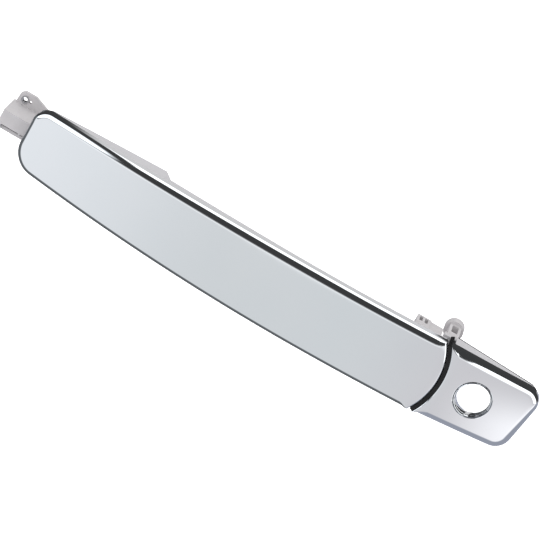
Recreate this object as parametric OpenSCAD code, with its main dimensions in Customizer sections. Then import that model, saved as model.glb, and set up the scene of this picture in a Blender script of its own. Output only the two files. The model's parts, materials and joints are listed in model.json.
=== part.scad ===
// Outside pull handle for a car door: a bowed grip that swings on a hinge bracket at its left
// end, and a fixed key-cylinder cap at its right end. X runs along the handle towards the cap,
// the outside face looks along -Y, Z is up. The door skin is the plane y = 0 and the origin is
// on the axis of the key-cylinder bore.

/* [Overall] */
// Length of the grip, from its left end to the middle of the joint with the cap
grip_len = 194.9; // [160:0.1:240]
// Length of the key cap, from the middle of the joint to its right end
cap_len = 39.7; // [38:0.1:50]
// Distance from the key bore's axis to the middle of the joint
key_to_joint = 15.4; // [15.2:0.1:20]
// Height of the grip and the cap
grip_h = 33; // [27:0.5:40]
// Drop of the grip's top edge towards its left end
end_drop = 3.7; // [1:0.1:4.5]
// Rise of the grip's bottom edge towards its left end
end_rise = 2.6; // [1:0.1:4]
// Drop of the cap's top and bottom edges towards its right end
cap_drop = 1.2; // [0:0.1:2]
// Radius of the bowed outside face, seen from above
bow_r = 500; // [420:10:700]
// Distance from the door skin to the outside face at both ends
end_out = 8.4; // [7.5:0.1:12]

/* [Chrome covers] */
// Depth of the chrome covers, front to back
cover_d = 5.2; // [4.6:0.1:7]
// Wall of the chrome covers
cover_wall = 1.8; // [1.4:0.1:2.2]
// Radius of the covers' front edges
edge_r = 2.2; // [1.9:0.1:3]
// Top left corner radius of the grip
corner_top = 7; // [4:0.5:9]
// Bottom left corner radius of the grip
corner_bottom = 10; // [6:0.5:11]
// Right corner radius of the cap
cap_corner = 7; // [4:0.5:8]
// Inward slant of the cap's right side, top to bottom
cap_slant = 2.2; // [0:0.1:4]
// Radius of the curved joint between the grip and the cap
joint_r = 32; // [28:1:60]
// Width of the joint between the two covers
joint_gap = 2; // [1.6:0.1:3]

/* [Back shells] */
// Thickness of the grip in the finger space
grip_t = 11; // [10:0.1:14]
// Distance that the satin shells stand in from the chrome covers' edge
shell_inset = 0.8; // [0.4:0.1:1.5]
// Wall of the satin shells
shell_wall = 1.8; // [1.4:0.1:2.4]
// Radius of the grip's rear edges
rear_r = 3; // [1.5:0.1:4]
// Length of the thick spine that stands against the door
spine_len = 57.4; // [50:1:70]
// Length of the slope from the spine into the finger space
spine_slope = 4.6; // [3:0.5:12]
// Thickness of the rubber pad and gasket on the door skin
pad_t = 1.5; // [1:0.1:2.5]
// Distance from the skin to the flat at the grip's right end
end_flat_out = 6.2; // [5.8:0.1:7]

/* [Key bore] */
// Radius of the opening for the key cylinder
key_r = 6.9; // [6:0.1:7.5]
// Wall of the key collar
collar_wall = 0.9; // [0.7:0.1:1.2]
// Depth of the key collar, from the face
collar_d = 5; // [4.4:0.1:7]
// Radius of the opening in the cap's floor and gasket
rear_hole_r = 12.5; // [11:0.1:12.8]

/* [Hinge] */
// Radius of the hinge pin
pin_r = 2; // [1.6:0.1:2.4]
// Wall of the nylon bush on the pin
bush_wall = 0.95; // [0.8:0.05:1.3]
// Thickness of the hinge arm
arm_t = 3; // [2.5:0.1:4]
// Distance from the grip's left end to the pin, along the handle
pin_back = 5.8; // [4:0.1:8]
// Distance from the door skin to the pin, into the door
pin_in = 9; // [8.5:0.1:12]
// Distance from the pin to the bracket's left side
bracket_left = 7; // [6.3:0.1:9]
// Depth of the bracket, front to back
bracket_d = 17.5; // [16.5:0.5:22]
// Thickness of the bracket's top plate
bracket_top_t = 2; // [1.8:0.1:3]
// Wall of the bracket's sides
bracket_wall = 1.6; // [1.2:0.1:2]
// Height of the bracket's top above the handle's centre line
bracket_top = 1.3; // [0:0.1:3]
// Height of the lug above the bracket's top plate
lug_h = 5.8; // [5:0.1:8]
// Radius of the hole through the lug's eyelet
eyelet_r = 1.1; // [0.9:0.1:1.3]
// Wire radius of the return spring
wire_r = 0.35; // [0.3:0.05:0.4]

/* [Pull arm and cap leg] */
// Distance that the pull arm reaches into the door
pull_reach = 28; // [24:1:34]
// Radius of the eye for the latch rod, inside its bush
pull_eye_r = 1.8; // [1.4:0.1:2.2]
// Distance that the cap's leg reaches into the door
leg_reach = 19; // [16:0.5:26]
// Outside radius of the eye on the cap's leg
leg_eye_r = 4.2; // [3.8:0.1:4.6]
// Radius of the bore in the leg's threaded insert
leg_bore_r = 1.7; // [1.4:0.1:2]
// Width of the slot in the top of the cap's leg
leg_slot_w = 2.8; // [2:0.1:3.4]
// Distance from the door skin to the slot in the cap's leg
leg_slot_y0 = 5; // [3:0.5:7]

/* [Hidden] */

// clearances
seam = 0.1;
tuck = 0.15;
run_gap = 0.05;
seat_gap = 0.02;
side_gap = 0.4;
far = 60;

// places along the handle
joint_x = -key_to_joint;
grip_x0 = joint_x - grip_len;
cap_x1 = joint_x + cap_len;
joint_cx = joint_x - joint_r;

// the bow: a circle through both ends of the face
bow_x = (grip_x0 + cap_x1) / 2;
bow_half = (cap_x1 - grip_x0) / 2;
bow_cy = sqrt(bow_r * bow_r - bow_half * bow_half) - end_out;
sweep = 2 * asin((bow_half + 12) / bow_r);
function face_y(x) = bow_cy - sqrt(bow_r * bow_r - (x - bow_x) * (x - bow_x));

// spine, pockets and flats of the grip
spine_x = grip_x0 + spine_len;
taper_x = grip_x0 + grip_len * 0.72;
pocket_d = grip_t - 2;
stiff_x0 = grip_x0 + 25;
stiff_x1 = joint_x - 12;
stiff_h = grip_h - 13;
stiff_t = 1.6;
stiff_web_d = pocket_d - stiff_t;
stiff_front_d = 4;
tongue_t = 1.4;

// hinge stack, from the top plate down
pin_x = grip_x0 - pin_back;
pin_y = pin_in;
bush_r = pin_r + bush_wall;
knuckle_r = bush_r + 1.4;
arm_z1 = bracket_top - bracket_top_t - 0.2;
arm_z0 = arm_z1 - arm_t;
spring_turns = 2;
spring_pitch = 2 * wire_r + 0.08;
spring_z1 = arm_z0 - 0.06 - wire_r;
spring_z0 = spring_z1 - spring_turns * spring_pitch;
cheek_z1 = spring_z0 - wire_r - 0.06;
cheek_t = 1.4;
cheek_z0 = cheek_z1 - cheek_t;
clip_t = 0.5;
clip_z1 = cheek_z0 - 0.08;
pin_z0 = clip_z1 - clip_t - 0.6;
pin_z1 = bracket_top - 0.75;
foot_x0 = grip_x0 + 5;
foot_x1 = grip_x0 + 24;
foot_t = 2;
foot_z0 = -9;
foot_z1 = 5;

// bracket
br_x0 = pin_x - bracket_left;
br_y0 = 1;
br_y1 = br_y0 + bracket_d;
br_x1 = pin_x + 8.5;
eyelet_x = pin_x - 2.8;
eyelet_z = bracket_top + 2.7;
lug_z1 = bracket_top + lug_h;
lug_x0 = pin_x - 6;
eyelet_wall = 0.55;

// pull arm and cap leg
pull_x0 = joint_x - 27.7;
pull_x1 = joint_x - 8.2;
pull_foot_t = 2;
boss_x0 = joint_x - 20.2;
boss_x1 = joint_x - 14;
boss_z1 = grip_h / 2 - 2.8;
foot_top_z = 8;
boss_y1 = 6.3;
pull_leg_w = 7;
pull_leg_x0 = joint_x - 19;
pull_leg_z0 = -9;
pull_leg_z1 = -1;
pull_eye_x = pull_leg_x0 + pull_leg_w / 2;
pull_eye_y = pull_reach - 5;
pull_bush_wall = 0.8;
leg_x = joint_x - 3.8;
leg_z = grip_h / 2 - 4.6;
tongue_x0 = joint_x - 7.6;
floor_y1 = -pad_t;
floor_y0 = floor_y1 - shell_wall;
leg_foot_t = 1.8;
leg_foot_x1 = leg_x + 5.2;
leg_foot_z0 = leg_z - 12.5;
leg_foot_z1 = leg_z + 3;
screw_r = 1.2;
head_r = 2.1;
head_t = 1.2;

// ---------- outlines, as points in x and z ----------

function arc(cx, cz, r, a0, a1, n) =
    [for (i = [0:n]) let (a = a0 + (a1 - a0) * i / n) [cx + r * cos(a), cz + r * sin(a)]];

// height of the grip's top edge (side 1) above the middle line, or depth of its bottom edge (-1)
function half_h(x, side) =
    let (most = side > 0 ? end_drop : end_rise)
    grip_h / 2 - (x < taper_x ? most * pow((taper_x - x) / (taper_x - grip_x0), 2) : 0);

function edge_points(x0, i, side) =
    [for (k = [1:8]) let (x = x0 + (taper_x - x0) * k / 8) [x, side * (half_h(x, side) - i)]];

function grip_outline(i) =
    let (
        xt = grip_x0 + corner_top,
        xb = grip_x0 + corner_bottom,
        re = joint_r - joint_gap / 2 - i,
        ae = asin((grip_h / 2 - i) / re),
        low = edge_points(xb, i, -1)
    )
    concat(
        arc(xt, half_h(xt, 1) - corner_top, corner_top - i, 180, 90, 8),
        edge_points(xt, i, 1),
        arc(joint_cx, 0, re, ae, -ae, 14),
        [for (k = [len(low) - 1:-1:0]) low[k]],
        arc(xb, corner_bottom - half_h(xb, -1), corner_bottom - i, 270, 180, 8)
    );

function cap_outline(i) =
    let (
        re = joint_r + joint_gap / 2 + i,
        ae = asin((grip_h / 2 - i) / re),
        zc = grip_h / 2 - cap_drop - cap_corner,
        tilt = atan(cap_slant / (2 * zc))
    )
    concat(
        arc(joint_cx, 0, re, -ae, ae, 14),
        arc(cap_x1 - cap_corner, zc, cap_corner - i, 90, -tilt, 8),
        arc(cap_x1 - cap_slant - cap_corner, -zc, cap_corner - i, -tilt, -90, 8)
    );

// section of a bowed bar, as radius and height, with its front edges rounded
function bar_section(front, back, h, r) = concat(
    [[bow_r - back, -h / 2]],
    arc(bow_r - front - r, r - h / 2, r, -90, 0, 6),
    arc(bow_r - front - r, h / 2 - r, r, 0, 90, 6),
    [[bow_r - back, h / 2]]
);

// the same with its rear edges rounded
function rear_section(front, back, h, r) = concat(
    [[bow_r - front, h / 2]],
    arc(bow_r - back + r, h / 2 - r, r, 90, 180, 6),
    arc(bow_r - back + r, r - h / 2, r, 180, 270, 6),
    [[bow_r - front, -h / 2]]
);

// ---------- shaping helpers ----------

module plate(points, y0, y1) {
    translate([0, y1, 0])
        rotate([90, 0, 0])
            linear_extrude(y1 - y0)
                polygon(points);
}

module plan(points, z0, z1) {
    translate([0, 0, z0])
        linear_extrude(z1 - z0)
            polygon(points);
}

module block(x0, x1, y0, y1, z0, z1) {
    translate([x0, y0, z0])
        cube([x1 - x0, y1 - y0, z1 - z0]);
}

module rod(x, z, r, y0, y1) {
    translate([x, y1, z])
        rotate([90, 0, 0])
            cylinder(r = r, h = y1 - y0, $fn = 48);
}

module post(x, y, r, z0, z1) {
    translate([x, y, z0])
        cylinder(r = r, h = z1 - z0, $fn = 48);
}

module bowed(points) {
    translate([bow_x, bow_cy, 0])
        rotate([0, 0, -90 - sweep / 2])
            rotate_extrude(angle = sweep, $fn = 360)
                polygon(points);
}

// everything that lies more than d behind the outside face
module behind_face(d) {
    translate([bow_x, bow_cy, -far])
        cylinder(r = bow_r - d, h = 2 * far, $fn = 360);
}

// a pan-head screw along Y, with its head at y and its point towards -Y
module pan_screw(x, z, y, length) {
    difference() {
        union() {
            rod(x, z, screw_r, y - length, y + head_t / 2);
            rod(x, z, head_r, y, y + head_t);
        }
        translate([x, y + head_t + 0.01, z])
            rotate([90, 0, 0])
                cylinder(r = 0.9, h = 0.7, $fn = 6);
    }
}

// ---------- the grip ----------

module grip_cover() {
    color("#d4d8dc")
        difference() {
            intersection() {
                bowed(bar_section(0, cover_d, grip_h, edge_r));
                plate(grip_outline(0), -far, far);
            }
            intersection() {
                bowed(bar_section(cover_wall, cover_d + 1, grip_h - 2 * cover_wall, edge_r / 2));
                plate(grip_outline(cover_wall), -far, far);
            }
        }
}

module spine_block() {
    slope_x = spine_x + spine_slope;
    plan([
        [grip_x0 - 1, -far], [slope_x, -far], [slope_x, face_y(slope_x) + grip_t - rear_r],
        [spine_x, floor_y1], [grip_x0 - 1, floor_y1]
    ], -far, far);
}

// flat bed of the pull arm, kept below the rounded rear edges
module end_block() {
    block(pull_x0 - 1, joint_x + 10, -far, -end_flat_out, 4.5 - grip_h / 2, grip_h / 2 - 4.5);
}

// everything the grip may fill: it stops at the door's pad and at the pull arm's bed
module rear_limit() {
    block(grip_x0 - 1, pull_x0 - 1, -far, floor_y1, -far, far);
    block(pull_x0 - 1, joint_x + 10, -far, -end_flat_out, -far, far);
}

module grip_back_outer() {
    intersection() {
        bowed(rear_section(cover_d + seam, grip_t, grip_h - 2 * shell_inset, rear_r));
        plate(grip_outline(shell_inset), -far, far);
    }
    intersection() {
        plate(grip_outline(shell_inset), -far, far);
        behind_face(cover_d + seam);
        union() {
            spine_block();
            end_block();
        }
    }
    // rim that tucks into the chrome cover
    intersection() {
        difference() {
            plate(grip_outline(cover_wall + tuck), -far, 0);
            plate(grip_outline(cover_wall + tuck + tongue_t), -far - 1, 1);
        }
        difference() {
            behind_face(cover_wall + 1.2);
            behind_face(cover_d + seam + 1);
        }
    }
    // block that takes the hinge arm's screws
    intersection() {
        block(foot_x0, foot_x1 - 2, -far, floor_y1 - foot_t - 0.5, foot_z0, foot_z1 + 2);
        plate(grip_outline(cover_wall + tuck), -far, far);
        behind_face(cover_wall + 0.6);
    }
}

module foot_pocket(g) {
    block(foot_x0 - g, foot_x1 + g, floor_y1 - foot_t - seat_gap, far, foot_z0 - g, foot_z1 + g);
}

module grip_back() {
    color("#c6c4c9")
        difference() {
            intersection() {
                grip_back_outer();
                rear_limit();
            }
            intersection() {
                block(stiff_x0 - 0.2, stiff_x1 + 0.2, -far, far, -stiff_h / 2 - 0.2,
                    stiff_h / 2 + 0.2);
                difference() {
                    behind_face(0);
                    behind_face(pocket_d);
                }
            }
            foot_pocket(0.1);
            hinge_screw_holes();
            pull_screw_holes();
            back_screw_holes();
        }
}

module stiffener_band(x0, x1, z, d0, d1) {
    intersection() {
        block(x0, x1, -far, far, -z, z);
        difference() {
            behind_face(d0);
            behind_face(d1);
        }
    }
}

module grip_stiffener() {
    color("#8b8f94")
        difference() {
            stiffener_band(stiff_x0, stiff_x1, stiff_h / 2, stiff_front_d, pocket_d - seat_gap);
            stiffener_band(stiff_x0 - 1, stiff_x1 + 1, stiff_h / 2 - stiff_t, 0, stiff_web_d);
            back_screw_holes();
            pull_screw_holes();
        }
}

module foam_strip() {
    color("#3c3e42")
        stiffener_band(stiff_x0 + 2, stiff_x1 - 2, stiff_h / 2, cover_wall + seat_gap,
            stiff_front_d - seat_gap);
}

module front_pad() {
    color("#26272a")
        block(foot_x1 + 3, spine_x - 2, floor_y1, -0.05, -9, 9);
}

module rear_buffer() {
    color("#26272a")
        block(joint_x - 7.4, joint_x - 4.2, -end_flat_out, floor_y0 - 0.3, -9, 3);
}

// screws inside the channel, which hold it to the spine
back_screw_xs = [stiff_x0 + 12, spine_x - 12];
back_screw_len = stiff_t + 3;
function web_y(x) = face_y(x) + stiff_web_d + 0.5;

module back_screw_holes() {
    for (x = back_screw_xs) {
        rod(x, 0, screw_r, web_y(x) - 1, web_y(x) + back_screw_len + 0.2);
        rod(x, 0, head_r + 0.2, web_y(x) - 2, web_y(x));
    }
}

module back_screws() {
    color("#9a9da1")
        for (x = back_screw_xs)
            translate([0, 2 * web_y(x), 0])
                mirror([0, 1, 0])
                    pan_screw(x, 0, web_y(x), back_screw_len);
}

// ---------- hinge arm ----------

hinge_screw_xs = [foot_x0 + 3, foot_x1 - 4];

module hinge_screw_holes() {
    for (x = hinge_screw_xs)
        rod(x, foot_z1 - 4, screw_r, floor_y1 - foot_t - 3, 0);
}

module hinge_arm() {
    color("#bdbcc1")
        difference() {
            union() {
                block(foot_x0, foot_x1, floor_y1 - foot_t, floor_y1, foot_z0, foot_z1);
                plan([
                    [pin_x, pin_y - 4], [foot_x0 + 3, pin_y - 4], [foot_x0 + 4, floor_y1],
                    [foot_x0 + 12, floor_y1], [foot_x0 + 12, pin_y], [foot_x0 + 8, pin_y + 4],
                    [pin_x, pin_y + 4]
                ], arm_z0, arm_z1);
                post(pin_x, pin_y, knuckle_r, arm_z0, arm_z1);
            }
            post(pin_x, pin_y, bush_r, arm_z0 - 1, arm_z1 + 1);
            hinge_screw_holes();
        }
}

module hinge_arm_screws() {
    color("#9a9da1")
        for (x = hinge_screw_xs)
            pan_screw(x, foot_z1 - 4, floor_y1, foot_t + 3);
}

module hinge_bush() {
    color("#e8e4d8")
        difference() {
            post(pin_x, pin_y, bush_r, arm_z0, arm_z1 + 0.1);
            post(pin_x, pin_y, pin_r + run_gap, arm_z0 - 1, arm_z1 + 1);
        }
}

// ---------- pull arm ----------

pull_screw_zs = [3.5, pull_leg_z0 + 4];

module pull_screw_holes() {
    for (z = pull_screw_zs)
        rod(pull_x0 + 3.5, z, screw_r, -end_flat_out - 5, 0);
}

module pull_arm() {
    color("#bdbcc1")
        difference() {
            union() {
                block(pull_x0, pull_x1, -end_flat_out, pull_foot_t - end_flat_out,
                    pull_leg_z0, foot_top_z);
                block(boss_x0, boss_x1, -end_flat_out, boss_y1, foot_top_z - 1, boss_z1);
                block(boss_x1 - 1, pull_x1, -end_flat_out, boss_y1 - 0.4, boss_z1 - 4,
                    boss_z1 - 0.3);
                block(boss_x1 - 1, pull_x1, -end_flat_out, pull_foot_t - end_flat_out,
                    foot_top_z - 1, boss_z1 - 0.3);
                block(pull_leg_x0, pull_leg_x0 + pull_leg_w, -end_flat_out, pull_eye_y,
                    pull_leg_z0, pull_leg_z1);
                post(pull_eye_x, pull_eye_y, pull_leg_w / 2, pull_leg_z0, pull_leg_z1);
            }
            post(pull_eye_x, pull_eye_y, pull_eye_r + pull_bush_wall, -far, far);
            for (x = [boss_x0 + 1.1, boss_x0 + 3.5])
                block(x, x + 1.4, 0, boss_y1 - 1.3, foot_top_z + 0.6, far);
            pull_screw_holes();
        }
}

module pull_arm_screws() {
    color("#9a9da1")
        for (z = pull_screw_zs)
            pan_screw(pull_x0 + 3.5, z, pull_foot_t - end_flat_out, pull_foot_t + 4);
}

module pull_bush() {
    color("#e8e4d8")
        difference() {
            union() {
                post(pull_eye_x, pull_eye_y, pull_eye_r + pull_bush_wall, pull_leg_z0,
                    pull_leg_z1 + 0.6);
                post(pull_eye_x, pull_eye_y, pull_leg_w / 2 - 0.2, pull_leg_z1,
                    pull_leg_z1 + 0.6);
            }
            post(pull_eye_x, pull_eye_y, pull_eye_r, -far, far);
        }
}

// ---------- key cap ----------

cap_screw_x = cap_x1 - 9;
cap_screw_zs = [7.3 - grip_h / 2, grip_h / 2 - 7.3];
cap_boss_r = screw_r + 1.2;

module cap_cover() {
    color("#d4d8dc")
        difference() {
            union() {
                difference() {
                    intersection() {
                        bowed(bar_section(0, cover_d, grip_h, edge_r));
                        plate(cap_outline(0), -far, far);
                    }
                    intersection() {
                        bowed(bar_section(cover_wall, cover_d + 1, grip_h - 2 * cover_wall,
                            edge_r / 2));
                        plate(cap_outline(cover_wall), -far, far);
                    }
                }
                intersection() {
                    for (z = cap_screw_zs)
                        rod(cap_screw_x, z, cap_boss_r, -far, floor_y0);
                    behind_face(cover_wall / 2);
                }
            }
            rod(0, 0, key_r + collar_wall + seat_gap, -far, 0);
            for (z = cap_screw_zs)
                rod(cap_screw_x, z, screw_r, floor_y0 - 4.2, 0);
        }
}

module cap_base() {
    color("#c6c4c9")
        difference() {
            union() {
                difference() {
                    intersection() {
                        plate(cap_outline(shell_inset), -far, floor_y1);
                        behind_face(cover_d + seam);
                    }
                    plate(cap_outline(shell_inset + shell_wall), -far - 1, floor_y0);
                }
                // rim that tucks into the chrome cover
                intersection() {
                    difference() {
                        plate(cap_outline(cover_wall + tuck), -far, 0);
                        plate(cap_outline(cover_wall + tuck + tongue_t), -far - 1, 1);
                    }
                    difference() {
                        behind_face(cover_wall + 1.2);
                        behind_face(cover_d + seam + 1);
                    }
                }
                block(tongue_x0, joint_x + 6, floor_y0, floor_y1, -9, leg_foot_z1);
            }
            rod(0, 0, rear_hole_r, floor_y0 - 1, far);
            for (z = cap_screw_zs) {
                rod(cap_screw_x, z, screw_r + 0.1, floor_y0 - 1, far);
                rod(cap_screw_x, z, cap_boss_r + tuck, -far, floor_y0);
            }
            leg_screw_holes();
        }
}

module cap_gasket() {
    color("#26272a")
        difference() {
            plate(cap_outline(shell_inset + 0.2), floor_y1, 0);
            plate(cap_outline(shell_inset + 2.2), floor_y1 - 1, 1);
            block(tongue_x0 - 1, leg_foot_x1 + 0.3, -far, far, leg_foot_z0 - 0.3,
                leg_foot_z1 + 0.3);
        }
}

module cap_screws() {
    color("#9a9da1")
        for (z = cap_screw_zs)
            pan_screw(cap_screw_x, z, floor_y1, shell_wall + 4);
}

module key_collar() {
    color("#dfe2e6")
        difference() {
            intersection() {
                union() {
                    rod(0, 0, key_r + collar_wall, -far, face_y(0) + collar_d);
                    intersection() {
                        rod(0, 0, key_r + collar_wall + 1.8, -far, face_y(0) + collar_d);
                        behind_face(cover_wall + seat_gap);
                    }
                }
                behind_face(-0.35);
            }
            rod(0, 0, key_r, -far, far);
        }
}

module collar_washer() {
    color("#8b8f94")
        difference() {
            rod(0, 0, key_r + collar_wall + 1.6, face_y(0) + collar_d, face_y(0) + collar_d + 0.8);
            rod(0, 0, key_r + 0.35, -far, far);
        }
}

module gap_seal() {
    re = joint_r + joint_gap / 2 - seat_gap;
    ri = joint_r - joint_gap / 2 + side_gap;
    ae = asin((grip_h / 2 - 0.3) / re);
    color("#16171a")
        intersection() {
            plate(concat(arc(joint_cx, 0, re, -ae, ae, 14), arc(joint_cx, 0, ri, ae, -ae, 14)),
                -far, floor_y0 - seat_gap);
            behind_face(0.6);
        }
}

// ---------- cap leg ----------

leg_screw_xs = [leg_x - 2, leg_x + 2.6];
leg_screw_z = leg_z - 9.5;

module leg_screw_holes() {
    for (x = leg_screw_xs)
        rod(x, leg_screw_z, screw_r, floor_y0, 2);
}

module cap_leg() {
    color("#bdbcc1")
        difference() {
            union() {
                block(tongue_x0, leg_foot_x1, floor_y1, floor_y1 + leg_foot_t, leg_foot_z0,
                    leg_foot_z1);
                block(leg_x - 2.5, leg_x + 2.5, floor_y1, leg_reach - 5, leg_z - 3, leg_z + 2.6);
                rod(leg_x, leg_z, leg_eye_r, leg_reach - 5, leg_reach);
            }
            rod(leg_x, leg_z, leg_bore_r + 0.8, leg_reach - 5, far);
            block(leg_x - leg_slot_w / 2, leg_x + leg_slot_w / 2, leg_slot_y0, leg_reach - 6,
                leg_z - 2.2, far);
            leg_screw_holes();
        }
}

module cap_leg_screws() {
    color("#9a9da1")
        for (x = leg_screw_xs)
            pan_screw(x, leg_screw_z, floor_y1 + leg_foot_t, leg_foot_t + shell_wall);
}

module leg_insert() {
    color("#b9a56a")
        difference() {
            rod(leg_x, leg_z, leg_bore_r + 0.8, leg_reach - 5, leg_reach + 0.4);
            rod(leg_x, leg_z, leg_bore_r, -far, far);
        }
}

// ---------- hinge bracket ----------

module hinge_bracket() {
    color("#c2c1c6")
        difference() {
            union() {
                // top plate
                block(br_x0, br_x1, br_y0, br_y1, bracket_top - bracket_top_t, bracket_top);
                // front wall, short enough to leave room for the arm
                block(br_x0, pin_x + 6.5, br_y0, br_y0 + bracket_wall, bracket_top - 6.2,
                    bracket_top);
                // left wall
                block(br_x0, br_x0 + bracket_wall, br_y0, br_y1, cheek_z0, bracket_top);
                // rear wall, which stands up as the lug
                plate([
                    [br_x0, cheek_z0], [br_x1, cheek_z0], [br_x1 + 1.5, 0],
                    [br_x1 + 1.5, lug_z1 - 3.5], [lug_x0 + 7, lug_z1], [lug_x0 + 1.8, lug_z1],
                    [lug_x0 + 0.4, lug_z1 - 1.4], [lug_x0, bracket_top], [br_x0, bracket_top]
                ], br_y1 - 2, br_y1);
                // lower cheek
                block(br_x0, pin_x + 5, br_y0 + 3, br_y1, cheek_z0, cheek_z1);
            }
            post(pin_x, pin_y, pin_r + seat_gap, -far, pin_z1 + 0.05);
            rod(eyelet_x, eyelet_z, eyelet_r + eyelet_wall, br_y1 - 3, far);
            rod(eyelet_x + 2.5, eyelet_z, 0.6, br_y1 - 3, far);
        }
}

module bracket_eyelet() {
    color("#e2e2e4")
        difference() {
            rod(eyelet_x, eyelet_z, eyelet_r + eyelet_wall, br_y1 - 2.5, br_y1 + 0.3);
            rod(eyelet_x, eyelet_z, eyelet_r, -far, far);
        }
}

module hinge_pin() {
    color("#a5a8ad")
        difference() {
            post(pin_x, pin_y, pin_r, pin_z0, pin_z1);
            difference() {
                post(pin_x, pin_y, pin_r + 1, clip_z1 - clip_t, clip_z1);
                post(pin_x, pin_y, pin_r - 0.45, clip_z1 - clip_t - 1, clip_z1 + 1);
            }
        }
}

module pin_clip() {
    color("#6f7276")
        difference() {
            post(pin_x, pin_y, pin_r + 1.5, clip_z1 - clip_t + 0.02, clip_z1 - 0.02);
            post(pin_x, pin_y, pin_r - 0.43, -far, far);
            block(pin_x - 1.2, pin_x + 1.2, pin_y, pin_y + 9, -far, far);
        }
}

// ---------- return spring: a coil on the pin with one straight leg at each end ----------

coil_r = pin_r + 0.35 + wire_r + 0.2;
coil_steps = 24;
ring_sides = 8;
function coil_point(k) =
    let (a = 360 * k / coil_steps, turn = k / coil_steps)
    [pin_x + coil_r * cos(a), pin_y + coil_r * sin(a), spring_z0 + turn * spring_pitch];
spring_path = concat(
    [[pin_x + coil_r, br_y0 + bracket_wall + wire_r + 0.2, spring_z0]],
    [for (k = [0:coil_steps * spring_turns]) coil_point(k)],
    [[pin_x + coil_r + 0.6, pin_y + 6.2, spring_z1]]
);

function unit(v) = v / norm(v);
function path_dir(p, k) =
    unit(p[min(k + 1, len(p) - 1)] - p[max(k - 1, 0)]);

module hinge_spring() {
    rings = len(spring_path);
    points = [
        for (k = [0:rings - 1])
            let (
                d = path_dir(spring_path, k),
                side = unit(cross(d, [0, 0, 1])),
                up = cross(side, d)
            )
            for (j = [0:ring_sides - 1])
                let (a = 360 * j / ring_sides)
                spring_path[k] + wire_r * (cos(a) * side + sin(a) * up)
    ];
    walls = [
        for (k = [0:rings - 2])
            for (j = [0:ring_sides - 1])
                let (n = (j + 1) % ring_sides, a = k * ring_sides, b = a + ring_sides)
                [a + j, a + n, b + n, b + j]
    ];
    first = [for (j = [ring_sides - 1:-1:0]) j];
    last = [for (j = [0:ring_sides - 1]) (rings - 1) * ring_sides + j];
    color("#7c7f84")
        polyhedron(points, concat(walls, [first, last]));
}

grip_cover();
grip_back();
grip_stiffener();
foam_strip();
front_pad();
rear_buffer();
back_screws();
hinge_arm();
hinge_arm_screws();
hinge_bush();
pull_arm();
pull_arm_screws();
pull_bush();
cap_cover();
cap_base();
cap_gasket();
cap_screws();
key_collar();
collar_washer();
gap_seal();
cap_leg();
cap_leg_screws();
leg_insert();
hinge_bracket();
bracket_eyelet();
hinge_pin();
pin_clip();
hinge_spring();
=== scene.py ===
# %% [markdown]
# # An outside pull handle for a car door
# The handle is a bowed chrome grip that swings on a bracket at its left end, and a fixed chrome
# cap at its right end with a round opening for the key cylinder.

# %% Bring in the engineering model
import json
import math
import bpy
import bmesh
from mathutils import Matrix, Vector


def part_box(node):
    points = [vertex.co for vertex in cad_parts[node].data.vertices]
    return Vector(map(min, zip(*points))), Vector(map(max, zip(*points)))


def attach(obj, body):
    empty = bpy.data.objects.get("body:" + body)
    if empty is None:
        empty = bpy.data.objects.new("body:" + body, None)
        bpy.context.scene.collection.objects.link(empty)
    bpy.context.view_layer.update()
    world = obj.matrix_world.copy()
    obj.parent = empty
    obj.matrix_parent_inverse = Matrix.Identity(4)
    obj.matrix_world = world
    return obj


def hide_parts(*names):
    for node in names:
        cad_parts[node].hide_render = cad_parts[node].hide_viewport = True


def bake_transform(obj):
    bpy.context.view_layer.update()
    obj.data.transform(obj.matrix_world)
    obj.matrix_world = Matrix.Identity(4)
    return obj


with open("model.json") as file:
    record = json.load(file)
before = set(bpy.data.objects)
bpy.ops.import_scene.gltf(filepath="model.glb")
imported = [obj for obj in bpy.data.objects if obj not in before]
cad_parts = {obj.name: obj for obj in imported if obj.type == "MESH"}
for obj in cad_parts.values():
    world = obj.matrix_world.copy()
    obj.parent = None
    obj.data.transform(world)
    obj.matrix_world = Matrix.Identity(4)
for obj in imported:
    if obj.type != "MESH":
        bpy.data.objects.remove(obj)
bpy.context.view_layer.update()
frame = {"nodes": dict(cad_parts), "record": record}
nodes = frame["nodes"]

# %% [markdown]
# All lengths of the real handle are in millimetres here, and `MM` turns them into metres. The
# outside face is a slow bow: a circle half a metre in radius that passes through both ends of
# the handle. Everything on the face is placed with `face_y`.

# %% The bow of the outside face
MM = 0.001
GRIP_X0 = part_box("grip_cover")[0].x / MM
CAP_X1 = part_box("cap_cover")[1].x / MM
JOINT_X = -15.4
HALF = 16.5
BOW_R = 500.0
END_OUT = 8.4
bow_x = (GRIP_X0 + CAP_X1) / 2
bow_half = (CAP_X1 - GRIP_X0) / 2
bow_cy = math.sqrt(BOW_R ** 2 - bow_half ** 2) - END_OUT


def face_y(x):
    """Depth of the outside face at x."""
    return bow_cy - math.sqrt(BOW_R ** 2 - (x - bow_x) ** 2)


def ease(a, b, x):
    """Goes smoothly from 0 at a to 1 at b."""
    t = min(max((x - a) / (b - a), 0.0), 1.0)
    return t * t * (3 - 2 * t)


print("handle from", round(GRIP_X0, 1), "to", round(CAP_X1, 1), "mm")

# %% [markdown]
# A chrome cover is drawn as an outline with a rolled edge. `grip_rim` gives a point on one of the
# four sides of the grip's outline, moved inwards by `inset`. The long sides close in towards the
# left end, the left corners are round, and the right side is the curved joint with the cap.

# %% Outline of the grip
CORNER_TOP = 7.0
CORNER_BOTTOM = 10.0
DROP = {1: 3.7, -1: 2.6}
TAPER_X = GRIP_X0 + 0.72 * (JOINT_X - GRIP_X0)
JOINT_R = 32.0
JOINT_CX = JOINT_X - JOINT_R
JOINT_HALF_GAP = 1.0
LONG_ARC = 0.07
LEFT_ARC_LOW = 0.34
LEFT_ARC_HIGH = 0.24


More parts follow.
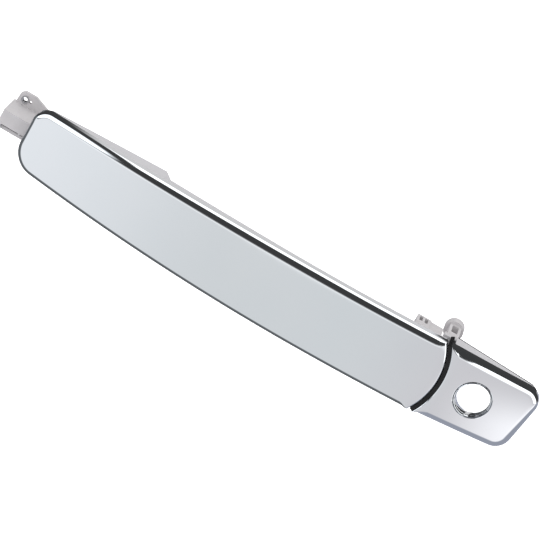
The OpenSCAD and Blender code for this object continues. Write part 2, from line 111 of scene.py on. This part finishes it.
def half_h(x, side):
    """Half height of the grip at x, for its top (1) or bottom (-1) edge."""
    t = max(TAPER_X - x, 0) / (TAPER_X - GRIP_X0)
    return HALF - DROP[side] * t * t


def corner(side, inset, share):
    """Point on a left corner: share 0 is on the left side, 1 on the long side."""
    r = CORNER_TOP if side > 0 else CORNER_BOTTOM
    cx = GRIP_X0 + r
    cz = half_h(cx, side) - r
    a = math.radians(90 * (1 - share))
    return Vector((cx - (r - inset) * math.sin(a), side * (cz + (r - inset) * math.cos(a))))


def grip_rim(where, u, inset):
    """Point on one side of the outline, u from 0 to 1 along it. A side starts with half of each
    corner that it meets."""
    joint_r = JOINT_R - JOINT_HALF_GAP - inset
    if where in ("top", "bottom"):
        side = 1 if where == "top" else -1
        if u < LONG_ARC:
            return corner(side, inset, 0.5 + 0.5 * u / LONG_ARC)
        r = CORNER_TOP if side > 0 else CORNER_BOTTOM
        x_end = JOINT_CX + math.sqrt(joint_r ** 2 - (HALF - inset) ** 2)
        x = GRIP_X0 + r + (x_end - GRIP_X0 - r) * (u - LONG_ARC) / (1 - LONG_ARC)
        return Vector((x, side * (half_h(x, side) - inset)))
    if where == "left":
        if u < LEFT_ARC_LOW:
            return corner(-1, inset, 0.5 - 0.5 * u / LEFT_ARC_LOW)
        if u > 1 - LEFT_ARC_HIGH:
            return corner(1, inset, 0.5 * (u - 1 + LEFT_ARC_HIGH) / LEFT_ARC_HIGH)
        low, high = corner(-1, inset, 0), corner(1, inset, 0)
        return low.lerp(high, (u - LEFT_ARC_LOW) / (1 - LEFT_ARC_LOW - LEFT_ARC_HIGH))
    a = math.asin((HALF - inset) / joint_r) * (2 * u - 1)
    return Vector((JOINT_CX + joint_r * math.cos(a), joint_r * math.sin(a)))


# %% [markdown]
# The face itself is one grid, stretched so that its four sides lie on the outline. Its rows are
# then extruded outwards, ring after ring, round the rolled edge and back to the depth of the
# cover. The real cover is a moulded shell, so the sheet gets a thickness at the end.

# %% The ring builder
CROWN = 0.35
COVER_D = 5.2
START = 3.4
ROLL_STEPS = 14
SIDE_SHARES = (0.35, 0.7, 1.0)
LIP_INSETS = (0.7, 1.4)
SHEET = 0.4


def crown(z):
    """The face is a little fuller in the middle than at its edges."""
    return CROWN * (z / HALF) ** 2


def put(vert, xz, depth):
    """Places a vertex on the outline plane at a depth behind the face."""
    vert.co = Vector((xz.x, face_y(xz.x) + crown(xz.y) + depth, xz.y)) * MM


def roll_rings(roll):
    """Steps from the face round a rolled edge: (inset, depth) pairs, then the side and a lip."""
    steps = []
    for k in range(ROLL_STEPS + 1):
        a = math.radians(90) * k / ROLL_STEPS
        steps.append((roll * (1 - math.sin(a)), roll * (1 - math.cos(a))))
    back = COVER_D - CROWN
    steps += [(0.0, roll + (back - roll) * share) for share in SIDE_SHARES]
    steps += [(inset, back) for inset in LIP_INSETS]
    return steps


def extrude_rim(bm, loop, rims):
    """Extrudes the open boundary ring by ring. loop is the list of boundary vertices in order,
    and rims gives for each (outer point, inner point, roll radius)."""
    count = len(loop)
    rings = [roll_rings(roll) for _, _, roll in rims]
    current = loop
    for step in range(len(rings[0])):
        edges = [bm.edges.get((current[i], current[(i + 1) % count])) for i in range(count)]
        made = bmesh.ops.extrude_edge_only(bm, edges=edges)["geom"]
        fresh = {g for g in made if isinstance(g, bmesh.types.BMVert)}
        following = []
        for i, v in enumerate(current):
            twin = next(e.other_vert(v) for e in v.link_edges if e.other_vert(v) in fresh)
            following.append(twin)
            outer, inner, _ = rims[i]
            inset, depth = rings[i][step]
            put(twin, outer.lerp(inner, inset / START), depth)
        current = following
    return current


def finish_piece(bm, name, wall=None, keep_smooth=35):
    """Closes a bmesh into a piece with outward normals, smooth but for its true edges."""
    bmesh.ops.remove_doubles(bm, verts=bm.verts, dist=1e-7)
    bmesh.ops.recalc_face_normals(bm, faces=bm.faces)
    if wall:
        bmesh.ops.solidify(bm, geom=bm.faces[:], thickness=wall)
    for f in bm.faces:
        f.smooth = True
    for e in bm.edges:
        e.smooth = len(e.link_faces) == 2 and e.calc_face_angle(0) < math.radians(keep_smooth)
    mesh = bpy.data.meshes.new(name)
    bm.to_mesh(mesh)
    bm.free()
    piece = bpy.data.objects.new(name, mesh)
    bpy.context.scene.collection.objects.link(piece)
    print(name, "has", len(mesh.polygons), "faces")
    return piece


# %% The grip's chrome cover
NX, NZ = 200, 46
EDGE_R = 2.2
JOINT_EDGE_R = 0.6
CRISP_FROM = 0.985


def long_roll(u):
    """Edge radius along a long side; it gets crisp just before the joint."""
    return EDGE_R + (JOINT_EDGE_R - EDGE_R) * ease(CRISP_FROM, 1.0, u)


def build_grip_cover():
    """Stretches a grid over the face, then rolls its rim."""
    bm = bmesh.new()
    made = bmesh.ops.create_grid(bm, x_segments=NX, y_segments=NZ, size=1)
    names = {}
    for v in made["verts"]:
        names[v] = (round((v.co.x + 1) / 2 * NX), round((v.co.y + 1) / 2 * NZ))
    cols = max(i for i, _ in names.values())
    rows = max(j for _, j in names.values())
    p00, p10 = grip_rim("bottom", 0, START), grip_rim("bottom", 1, START)
    p01, p11 = grip_rim("top", 0, START), grip_rim("top", 1, START)
    for v, (i, j) in names.items():
        u, w = i / cols, j / rows
        low, high = grip_rim("bottom", u, START), grip_rim("top", u, START)
        left, right = grip_rim("left", w, START), grip_rim("right", w, START)
        flat = p00.lerp(p10, u).lerp(p01.lerp(p11, u), w)
        put(v, low.lerp(high, w) + left.lerp(right, u) - flat, 0)
    at = {place: v for v, place in names.items()}
    loop, rims = [], []

    def add(place, where, u, roll):
        loop.append(at[place])
        rims.append((grip_rim(where, u, 0), grip_rim(where, u, START), roll))

    for i in range(cols):
        add((i, 0), "bottom", i / cols, long_roll(i / cols))
    for j in range(rows):
        add((cols, j), "right", j / rows, JOINT_EDGE_R)
    for i in range(cols, 0, -1):
        add((i, rows), "top", i / cols, long_roll(i / cols))
    for j in range(rows, 0, -1):
        add((0, j), "left", j / rows, EDGE_R)
    extrude_rim(bm, loop, rims)
    return finish_piece(bm, "grip_chrome", wall=SHEET * MM)


grip_chrome = build_grip_cover()
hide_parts("grip_cover")
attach(grip_chrome, "grip")

# %% [markdown]
# The cap's cover is built the other way round: its rings start at the round opening for the key
# cylinder and grow outwards until they reach the outline, then roll over the edge in the same way
# as the grip's.

# %% Outline of the cap
CAP_CORNER = 7.0
CAP_DROP = 1.2
CAP_SLANT = 2.2
CAP_EDGE_R = 2.2
CAP_LOW_R = 3.2
CRISP_TO = 0.035
HOLE_R = 7.8
HOLE_LIP = [(-0.25, 1.1), (0.0, 0.5), (0.1, 0.16), (0.3, 0.0)]
FACE_STEPS = 16


def cap_rims():
    """Points round the cap's outline as (outer, inner, roll radius)."""
    zc = HALF - CAP_DROP - CAP_CORNER
    tilt = math.degrees(math.atan(CAP_SLANT / (2 * zc)))
    top_c = Vector((CAP_X1 - CAP_CORNER, zc))
    low_c = Vector((CAP_X1 - CAP_SLANT - CAP_CORNER, -zc))

    def on_joint(u, inset):
        re = JOINT_R + JOINT_HALF_GAP + inset
        a = math.asin((HALF - inset) / re) * (2 * u - 1)
        return Vector((JOINT_CX + re * math.cos(a), re * math.sin(a)))

    def on_corner(centre, degrees, inset):
        a = math.radians(degrees)
        return centre + (CAP_CORNER - inset) * Vector((math.cos(a), math.sin(a)))

    def between(a, b):
        return lambda u, inset: a(inset).lerp(b(inset), u)

    start_top = lambda inset: on_joint(1, inset)
    end_top = lambda inset: on_corner(top_c, 90, inset)
    start_side = lambda inset: on_corner(top_c, -tilt, inset)
    end_side = lambda inset: on_corner(low_c, -tilt, inset)
    start_low = lambda inset: on_corner(low_c, -90, inset)
    end_low = lambda inset: on_joint(0, inset)
    def roll_from_joint(near_joint, full):
        """Edge radius that starts crisp at the joint and soon reaches its full size."""
        return JOINT_EDGE_R + (full - JOINT_EDGE_R) * ease(0.0, CRISP_TO, near_joint)

    parts = [
        (44, on_joint, lambda u: JOINT_EDGE_R),
        (60, between(start_top, end_top), lambda u: roll_from_joint(u, CAP_EDGE_R)),
        (20, lambda u, i: on_corner(top_c, 90 - (90 + tilt) * u, i), lambda u: CAP_EDGE_R),
        (30, between(start_side, end_side), lambda u: CAP_EDGE_R + (CAP_LOW_R - CAP_EDGE_R) * u),
        (20, lambda u, i: on_corner(low_c, -tilt - (90 - tilt) * u, i), lambda u: CAP_LOW_R),
        (56, between(start_low, end_low), lambda u: roll_from_joint(1 - u, CAP_LOW_R)),
    ]
    rims = []
    for count, point, roll in parts:
        for k in range(count):
            u = k / count
            rims.append((point(u, 0), point(u, START), roll(u)))
    return rims


def build_cap_cover():
    """Grows rings from the round opening to the outline, then rolls the rim."""
    rims = cap_rims()
    count = len(rims)
    bm = bmesh.new()
    made = bmesh.ops.create_circle(bm, segments=count, radius=HOLE_R * MM, cap_ends=False)
    ring = sorted(made["verts"], key=lambda v: math.atan2(v.co.y, v.co.x))
    turn = sorted(range(count), key=lambda i: math.atan2(rims[i][1].y, rims[i][1].x))
    current = [None] * count
    for v, i in zip(ring, turn):
        current[i] = v
    paths = []
    for i, v in enumerate(current):
        away = rims[i][1].normalized()
        lip = [(away * (HOLE_R + r), depth) for r, depth in HOLE_LIP]
        put(v, *lip[0])
        face = [(lip[-1][0].lerp(rims[i][1], k / FACE_STEPS), 0.0)
                for k in range(1, FACE_STEPS + 1)]
        paths.append(lip[1:] + face)
    for step in range(len(paths[0])):
        edges = [bm.edges.get((current[i], current[(i + 1) % count])) for i in range(count)]
        geom = bmesh.ops.extrude_edge_only(bm, edges=edges)["geom"]
        fresh = {g for g in geom if isinstance(g, bmesh.types.BMVert)}
        following = []
        for i, v in enumerate(current):
            twin = next(e.other_vert(v) for e in v.link_edges if e.other_vert(v) in fresh)
            put(twin, *paths[i][step])
            following.append(twin)
        current = following
    extrude_rim(bm, current, rims)
    return finish_piece(bm, "cap_chrome", wall=SHEET * MM)


cap_chrome = build_cap_cover()
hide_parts("cap_cover")
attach(cap_chrome, "root")

# %% [markdown]
# The key collar is a turned ring, so its section is drawn once and spun round the key cylinder's
# axis. Its front bead follows the slope of the face, and its back stays square to the axis.

# %% The key collar
COLLAR_STEPS = 128
BEAD_D = 0.9
SQUARE_D = 3.0
COLLAR_SECTION = [
    (7.75, 0.5), (7.72, 0.02), (7.62, -0.2), (7.46, -0.3), (7.30, -0.24), (7.22, -0.05),
    (7.18, 0.7), (7.14, 0.86), (7.08, 0.95), (6.98, 0.98), (6.93, 1.05), (6.9, 1.2),
    (6.9, 4.85), (7.0, 5.0), (7.45, 5.0), (7.5, 0.9),
]


def build_collar():
    """Spins the section round the key cylinder's axis."""
    bm = bmesh.new()
    ring = [bm.verts.new((r * MM, d * MM, 0)) for r, d in COLLAR_SECTION]
    edges = [bm.edges.new((ring[i], ring[(i + 1) % len(ring)])) for i in range(len(ring))]
    bmesh.ops.spin(bm, geom=ring + edges, cent=(0, 0, 0), axis=(0, 1, 0), dvec=(0, 0, 0),
                   angle=math.tau, steps=COLLAR_STEPS, use_merge=True, use_duplicate=False)
    for v in bm.verts:
        x, depth = v.co.x / MM, v.co.y / MM
        follow = 1 - ease(BEAD_D, SQUARE_D, depth)
        v.co.y = (follow * face_y(x) + (1 - follow) * face_y(0) + depth) * MM
    return finish_piece(bm, "key_ring")


key_ring = build_collar()
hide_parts("key_collar")
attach(key_ring, "root")

# %% [markdown]
# The return spring is a coil whose lower leg presses on the bracket and whose upper leg presses on
# the grip's arm. A copy of its mesh is drawn with smooth shading.


def build_spring():
    bm = bmesh.new()
    bm.from_mesh(nodes["hinge_spring"].data)
    bmesh.ops.remove_doubles(bm, verts=bm.verts, dist=1e-7)
    return finish_piece(bm, "coil_spring", keep_smooth=60)


coil_spring = build_spring()
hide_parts("hinge_spring")
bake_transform(coil_spring)

# %% [markdown]
# Finishes. Each one is a small network of noise textures on Object coordinates, so the grain keeps
# its true size on every part. `new_finish` makes the shader, `noise` a texture, and `vary` turns
# a texture into a narrow range of numbers.

# %% Helpers for finishes
def new_finish(name, colour, metallic, roughness):
    """A material with its Principled shader and Object coordinates ready."""
    mat = bpy.data.materials.new(name)
    mat.use_nodes = True
    tree = mat.node_tree
    shader = tree.nodes["Principled BSDF"]
    shader.inputs["Base Color"].default_value = (*colour, 1)
    shader.inputs["Metallic"].default_value = metallic
    shader.inputs["Roughness"].default_value = roughness
    coords = tree.nodes.new("ShaderNodeTexCoord")
    return mat, tree, shader, coords.outputs["Object"]


def noise(tree, coords, scale, detail=3.0, stretch=None):
    """A noise texture; stretch squeezes it along each axis."""
    if stretch:
        mapping = tree.nodes.new("ShaderNodeMapping")
        mapping.inputs["Scale"].default_value = stretch
        tree.links.new(coords, mapping.inputs["Vector"])
        coords = mapping.outputs["Vector"]
    tex = tree.nodes.new("ShaderNodeTexNoise")
    tex.inputs["Scale"].default_value = scale
    tex.inputs["Detail"].default_value = detail
    tree.links.new(coords, tex.inputs["Vector"])
    return tex.outputs["Fac"]


def vary(tree, fac, low, high):
    """Maps the middle of a noise to low..high."""
    node = tree.nodes.new("ShaderNodeMapRange")
    node.inputs["From Min"].default_value = 0.3
    node.inputs["From Max"].default_value = 0.7
    node.inputs["To Min"].default_value = low
    node.inputs["To Max"].default_value = high
    tree.links.new(fac, node.inputs["Value"])
    return node.outputs["Result"]


def tint(tree, shader, fac, dark, light):
    """Lets the base colour drift between two near shades."""
    ramp = tree.nodes.new("ShaderNodeValToRGB")
    ramp.color_ramp.elements[0].position = 0.3
    ramp.color_ramp.elements[0].color = (*dark, 1)
    ramp.color_ramp.elements[1].position = 0.7
    ramp.color_ramp.elements[1].color = (*light, 1)
    tree.links.new(fac, ramp.inputs["Fac"])
    tree.links.new(ramp.outputs["Color"], shader.inputs["Base Color"])


def bump(tree, shader, fac, strength, distance):
    """Presses a texture into the surface as fine relief."""
    node = tree.nodes.new("ShaderNodeBump")
    node.inputs["Strength"].default_value = strength
    node.inputs["Distance"].default_value = distance
    tree.links.new(fac, node.inputs["Height"])
    tree.links.new(node.outputs["Normal"], shader.inputs["Normal"])


# %% Chrome: mirror bright, with the faintest drift in tone and polish
def make_chrome():
    mat, tree, shader, coords = new_finish("bright_chrome", (0.62, 0.64, 0.66), 1.0, 0.03)
    soft = noise(tree, coords, 22, 2)
    tint(tree, shader, soft, (0.600, 0.625, 0.648), (0.622, 0.642, 0.662))
    tree.links.new(vary(tree, noise(tree, coords, 350, 3), 0.02, 0.045),
                   shader.inputs["Roughness"])
    return mat


# %% Satin silver paint on the shells
def make_satin():
    mat, tree, shader, coords = new_finish("satin_silver", (0.60, 0.595, 0.61), 0.0, 0.5)
    shader.inputs["Specular IOR Level"].default_value = 0.05
    tint(tree, shader, noise(tree, coords, 30, 3), (0.575, 0.57, 0.585), (0.62, 0.615, 0.63))
    tree.links.new(vary(tree, noise(tree, coords, 900, 2), 0.42, 0.56), shader.inputs["Roughness"])
    bump(tree, shader, noise(tree, coords, 2600, 2), 0.12, 0.0001)
    return mat


# %% Die-cast zinc, a fine grain with a cloudy tone
def make_zinc():
    mat, tree, shader, coords = new_finish("cast_zinc", (0.61, 0.595, 0.60), 0.0, 0.45)
    shader.inputs["Specular IOR Level"].default_value = 0.15
    tint(tree, shader, noise(tree, coords, 110, 5), (0.56, 0.545, 0.55), (0.66, 0.64, 0.65))
    tree.links.new(vary(tree, noise(tree, coords, 700, 4), 0.34, 0.52), shader.inputs["Roughness"])
    bump(tree, shader, noise(tree, coords, 1500, 4), 0.22, 0.00012)
    return mat


# %% Zinc-plated steel, with fine draw lines
def make_steel():
    mat, tree, shader, coords = new_finish("plated_steel", (0.55, 0.56, 0.58), 1.0, 0.28)
    tint(tree, shader, noise(tree, coords, 160, 3), (0.50, 0.51, 0.53), (0.60, 0.61, 0.63))
    lines = noise(tree, coords, 1800, 2, stretch=(1, 1, 0.08))
    tree.links.new(vary(tree, lines, 0.2, 0.36), shader.inputs["Roughness"])
    bump(tree, shader, lines, 0.1, 0.00005)
    return mat


# %% Black rubber, smooth and a little glossy
def make_rubber():
    mat, tree, shader, coords = new_finish("black_rubber", (0.008, 0.008, 0.009), 0.0, 0.25)
    shader.inputs["Specular IOR Level"].default_value = 0.18
    tint(tree, shader, noise(tree, coords, 200, 3), (0.006, 0.006, 0.007), (0.014, 0.014, 0.015))
    tree.links.new(vary(tree, noise(tree, coords, 1200, 3), 0.18, 0.32), shader.inputs["Roughness"])
    bump(tree, shader, noise(tree, coords, 2400, 3), 0.1, 0.00008)
    return mat


# %% Natural nylon, a warm translucent white
def make_nylon():
    mat, tree, shader, coords = new_finish("natural_nylon", (0.80, 0.77, 0.69), 0.0, 0.4)
    shader.inputs["Subsurface Weight"].default_value = 0.15
    shader.inputs["Subsurface Radius"].default_value = (0.002, 0.0015, 0.001)
    tint(tree, shader, noise(tree, coords, 180, 3), (0.74, 0.71, 0.63), (0.83, 0.80, 0.73))
    tree.links.new(vary(tree, noise(tree, coords, 1500, 2), 0.34, 0.5), shader.inputs["Roughness"])
    return mat


# %% Closed-cell foam
def make_foam():
    mat, tree, shader, coords = new_finish("cell_foam", (0.03, 0.03, 0.033), 0.0, 0.9)
    cells = tree.nodes.new("ShaderNodeTexVoronoi")
    cells.inputs["Scale"].default_value = 2200
    tree.links.new(coords, cells.inputs["Vector"])
    tint(tree, shader, cells.outputs["Distance"], (0.015, 0.015, 0.017), (0.05, 0.05, 0.055))
    bump(tree, shader, cells.outputs["Distance"], 0.5, 0.0002)
    return mat


# %% Turned brass
def make_brass():
    mat, tree, shader, coords = new_finish("turned_brass", (0.66, 0.50, 0.24), 1.0, 0.25)
    rings = noise(tree, coords, 1400, 2, stretch=(0.1, 1, 0.1))
    tint(tree, shader, noise(tree, coords, 240, 3), (0.60, 0.45, 0.21), (0.72, 0.56, 0.28))
    tree.links.new(vary(tree, rings, 0.18, 0.34), shader.inputs["Roughness"])
    return mat


# %% Put the finishes on
FINISHES = {
    "chrome_plate": make_chrome(), "satin_shell": make_satin(), "zinc": make_zinc(),
    "steel": make_steel(), "rubber": make_rubber(), "nylon": make_nylon(),
    "foam": make_foam(), "brass_insert": make_brass(),
}
for row in frame["record"]["subparts"]:
    mesh = nodes[row["node"]].data
    mesh.materials.clear()
    mesh.materials.append(FINISHES[row["material_slot"]])
for piece in (grip_chrome, cap_chrome, key_ring, coil_spring):
    slot = "steel" if piece == coil_spring else "chrome_plate"
    piece.data.materials.clear()
    piece.data.materials.append(FINISHES[slot])

# %% [markdown]
# Chrome has no colour of its own: it shows the room. The studio here is a pale floor, a long
# white panel overhead and behind, a white panel at the front left, and a dark gap in front between
# floor and panels, which draws the crisp black line along the rolled edge. The panels run along
# the handle, so the room is drawn by two numbers: the angle in degrees round the handle's long
# axis, 0 straight in front and 90 overhead, and the share of a direction that points along the
# axis, towards the cap.

# %% The studio room
world = bpy.data.worlds.new("studio")
bpy.context.scene.world = world
world.use_nodes = True
room = world.node_tree
room.nodes.clear()


def room_node(kind, **inputs):
    """A node in the room's network; numbers or sockets go to its inputs by index."""
    node = room.nodes.new(kind)
    for key, value in inputs.items():
        socket = node.inputs[int(key[1:])]
        if isinstance(value, bpy.types.NodeSocket):
            room.links.new(value, socket)
        else:
            socket.default_value = value
    return node


def calc(operation, a, b=0.0):
    """One arithmetic step."""
    node = room_node("ShaderNodeMath", _0=a, _1=b)
    node.operation = operation
    return node.outputs[0]


def step_up(value, low, high):
    """0 below low, 1 above high, smooth between."""
    node = room.nodes.new("ShaderNodeMapRange")
    node.interpolation_type = "SMOOTHSTEP"
    room.links.new(value, node.inputs["Value"])
    for name, number in (("From Min", low), ("From Max", high), ("To Min", 0), ("To Max", 1)):
        socket = node.inputs[name]
        if isinstance(number, bpy.types.NodeSocket):
            room.links.new(number, socket)
        else:
            socket.default_value = number
    return node.outputs["Result"]


def blend_colour(share, a, b):
    """Mixes two colours, or a colour and another mix, by share."""
    node = room.nodes.new("ShaderNodeMix")
    node.data_type = "RGBA"
    room.links.new(share, node.inputs["Factor"])
    for socket, value in ((node.inputs[6], a), (node.inputs[7], b)):
        if isinstance(value, bpy.types.NodeSocket):
            room.links.new(value, socket)
        else:
            socket.default_value = (*value, 1)
    return node.outputs[2]


direction = room.nodes.new("ShaderNodeTexCoord").outputs["Generated"]
split = room_node("ShaderNodeSeparateXYZ", _0=direction)
along, out_y, up_z = split.outputs
angle = calc("ARCTAN2", up_z, calc("MULTIPLY", out_y, -1.0))
degrees = calc("MULTIPLY", angle, 180 / math.pi)

# %% Colours of the room; above 1 is brighter than white paper
FLOOR_MIDDLE = (0.985, 1.003, 1.012)
FLOOR_LEFT = (1.24, 1.25, 1.275)
FLOOR_CAP = (0.94, 0.91, 0.93)
FLOOR_END = (1.62, 1.58, 1.60)
UNDER = (0.17, 0.18, 0.19)
UNDER_CAP = (0.46, 0.48, 0.56)
HORIZON = (0.30, 0.31, 0.33)
DARK = (0.066, 0.066, 0.067)
PANEL_LEFT = (2.0, 2.05, 2.1)
PANEL_TOP = (2.3, 2.3, 2.3)
PANEL_CAP = (0.98, 0.97, 1.0)
BACK_WALL = (0.88, 0.86, 0.86)
SOFT_LOW = (0.79, 0.795, 0.825)
SOFT_HIGH = (0.95, 0.945, 0.95)
BACKDROP = (1.0, 1.0, 1.0)

# %% Lines across the room
# A rolled edge sees less of the room's length the further it turns, so a line that has to meet
# the joint between the grip and the cap leans: its share along the handle changes with the angle.
LINE_WIDTH = 0.02
leftwards = calc("MULTIPLY", along, -1.0)
downwards = calc("MULTIPLY", degrees, -1.0)


def leaning(start, lean):
    """The share along the handle at which a line stands: start at 0 degrees, lean per degree."""
    return calc("ADD", start, calc("MULTIPLY", degrees, lean))


def past(value, line, width):
    """0 before a line, 1 once past it by width."""
    return step_up(value, line, calc("ADD", line, width))


def between_values(share, a, b):
    """A number that goes from a to b by share."""
    return calc("ADD", a, calc("MULTIPLY", share, b - a))


over_cap = past(along, leaning(0.422, -0.0023), LINE_WIDTH)
under_cap = past(along, leaning(0.393, 0.0021), LINE_WIDTH)
at_left_end = past(leftwards, leaning(0.394, -0.0019), LINE_WIDTH)
to_right_end = step_up(along, leaning(0.371, -0.001), leaning(0.491, -0.001))

# %% The floor in front: brighter to the left and to the lower right, shaded near the handle
floor = blend_colour(step_up(leftwards, 0.05, 0.55), FLOOR_MIDDLE, FLOOR_LEFT)
floor = blend_colour(step_up(along, 0.15, 0.42), floor, FLOOR_CAP)
lower_right = calc("MULTIPLY", step_up(along, 0.36, 0.54), step_up(downwards, 17, 25))
floor = blend_colour(lower_right, floor, FLOOR_END)
shade_from = between_values(under_cap, 38.0, 26.0)
shade_to = between_values(under_cap, 62.0, 42.0)
shade = blend_colour(under_cap, UNDER, UNDER_CAP)
floor = blend_colour(step_up(downwards, shade_from, shade_to), floor, shade)

# %% The dark gap with the left panel, and the thin grey horizon at the left
front = blend_colour(step_up(leftwards, 0.355, 0.405), DARK, PANEL_LEFT)
horizon = calc("MULTIPLY", step_up(leftwards, 0.33, 0.37),
               calc("SUBTRACT", 1.0, step_up(degrees, -8, -5)))
front = blend_colour(horizon, front, HORIZON)

# %% The panel overhead, the wall behind it, and how they meet the dark gap
back = blend_colour(step_up(degrees, 134, 142), PANEL_TOP, BACK_WALL)
back = blend_colour(over_cap, back, PANEL_CAP)
back = blend_colour(at_left_end, back, DARK)
gap_top = between_values(over_cap, 74.0, 174.0)
above = blend_colour(past(degrees, gap_top, 5.0), front, back)
glow_top = between_values(to_right_end, -16.0, 40.0)
above = blend_colour(past(degrees, glow_top, 3.0), PANEL_TOP, above)
seen = blend_colour(step_up(degrees, -16, -14), floor, above)

# %% What each kind of light ray sees
light_path = room.nodes.new("ShaderNodeLightPath")
soft = blend_colour(step_up(up_z, -0.6, 0.8), SOFT_LOW, SOFT_HIGH)
lit = blend_colour(light_path.outputs["Is Diffuse Ray"], seen, soft)
lit = blend_colour(light_path.outputs["Is Camera Ray"], lit, BACKDROP)
sky = room.nodes.new("ShaderNodeBackground")
room.links.new(lit, sky.inputs["Color"])
out = room.nodes.new("ShaderNodeOutputWorld")
room.links.new(sky.outputs["Background"], out.inputs["Surface"])
print("the room has", len(room.nodes), "nodes")

# %% [markdown]
# A wide pale floor lies well below the handle, so no hard shadow falls near it. One large soft
# lamp in front lights the satin and cast parts; it is kept out of the chrome's reflections.

# %% Floor and front lamp
FLOOR_Z = -0.32
bm = bmesh.new()
bmesh.ops.create_grid(bm, x_segments=4, y_segments=4, size=8.0)
floor_mesh = bpy.data.meshes.new("studio_floor")
bm.to_mesh(floor_mesh)
bm.free()
floor_mesh.transform(Matrix.Translation((0, 0, FLOOR_Z)))
floor_piece = bpy.data.objects.new("studio_floor", floor_mesh)
bpy.context.scene.collection.objects.link(floor_piece)
floor_piece.visible_glossy = False
floor_piece.visible_diffuse = False
floor_mat, floor_tree, floor_shader, floor_coords = new_finish("pale_floor", (0.9, 0.9, 0.9), 0, 0.8)
tint(floor_tree, floor_shader, noise(floor_tree, floor_coords, 3, 2), (0.89, 0.89, 0.89),
     (0.91, 0.91, 0.91))
floor_shader.inputs["Emission Color"].default_value = (1, 1, 1, 1)
floor_shader.inputs["Emission Strength"].default_value = 0.75
floor_mesh.materials.append(floor_mat)

lamp_data = bpy.data.lights.new("front_lamp", "AREA")
lamp_data.shape = "RECTANGLE"
lamp_data.size = 1.2
lamp_data.size_y = 0.8
lamp_data.energy = 1.5
lamp = bpy.data.objects.new("front_lamp", lamp_data)
lamp.location = (-0.3, -1.4, 0.5)
lamp.rotation_euler = (Vector((-0.1, 0, 0)) - lamp.location).to_track_quat("-Z", "Y").to_euler()
lamp.visible_glossy = False
bpy.context.scene.collection.objects.link(lamp)

# %% [markdown]
# The camera looks down at the handle from a little above and is rolled, so that the handle lies
# across the view from the upper left to the lower right. `VIEW_WIDTH` is how many metres the view
# takes in at the handle.

# %% Camera
AZIMUTH, ELEVATION, ROLL = -0.471, 19.636, 30.487
DISTANCE = 1.2
TARGET = Vector((-96.874, -12.0, 3.877)) * MM
VIEW_WIDTH = 0.217304
a, e, r = (math.radians(n) for n in (AZIMUTH, ELEVATION, ROLL))
back_axis = Vector((math.sin(a) * math.cos(e), -math.cos(a) * math.cos(e), math.sin(e)))
level = Vector((math.cos(a), math.sin(a), 0))
rise = back_axis.cross(level)
right_axis = math.cos(r) * level + math.sin(r) * rise
up_axis = -math.sin(r) * level + math.cos(r) * rise
camera_data = bpy.data.cameras.new("camera")
camera_data.sensor_width = 36
camera_data.lens = camera_data.sensor_width * DISTANCE / VIEW_WIDTH
camera_data.clip_start = 0.05
camera_data.clip_end = 100
camera = bpy.data.objects.new("camera", camera_data)
turn = Matrix((right_axis, up_axis, back_axis)).transposed().to_4x4()
camera.matrix_world = Matrix.Translation(TARGET + back_axis * DISTANCE) @ turn
bpy.context.scene.collection.objects.link(camera)
bpy.context.scene.camera = camera
bpy.context.scene.view_settings.view_transform = "Standard"
bpy.context.scene.view_settings.look = "None"
print("lens", round(camera_data.lens, 1), "mm")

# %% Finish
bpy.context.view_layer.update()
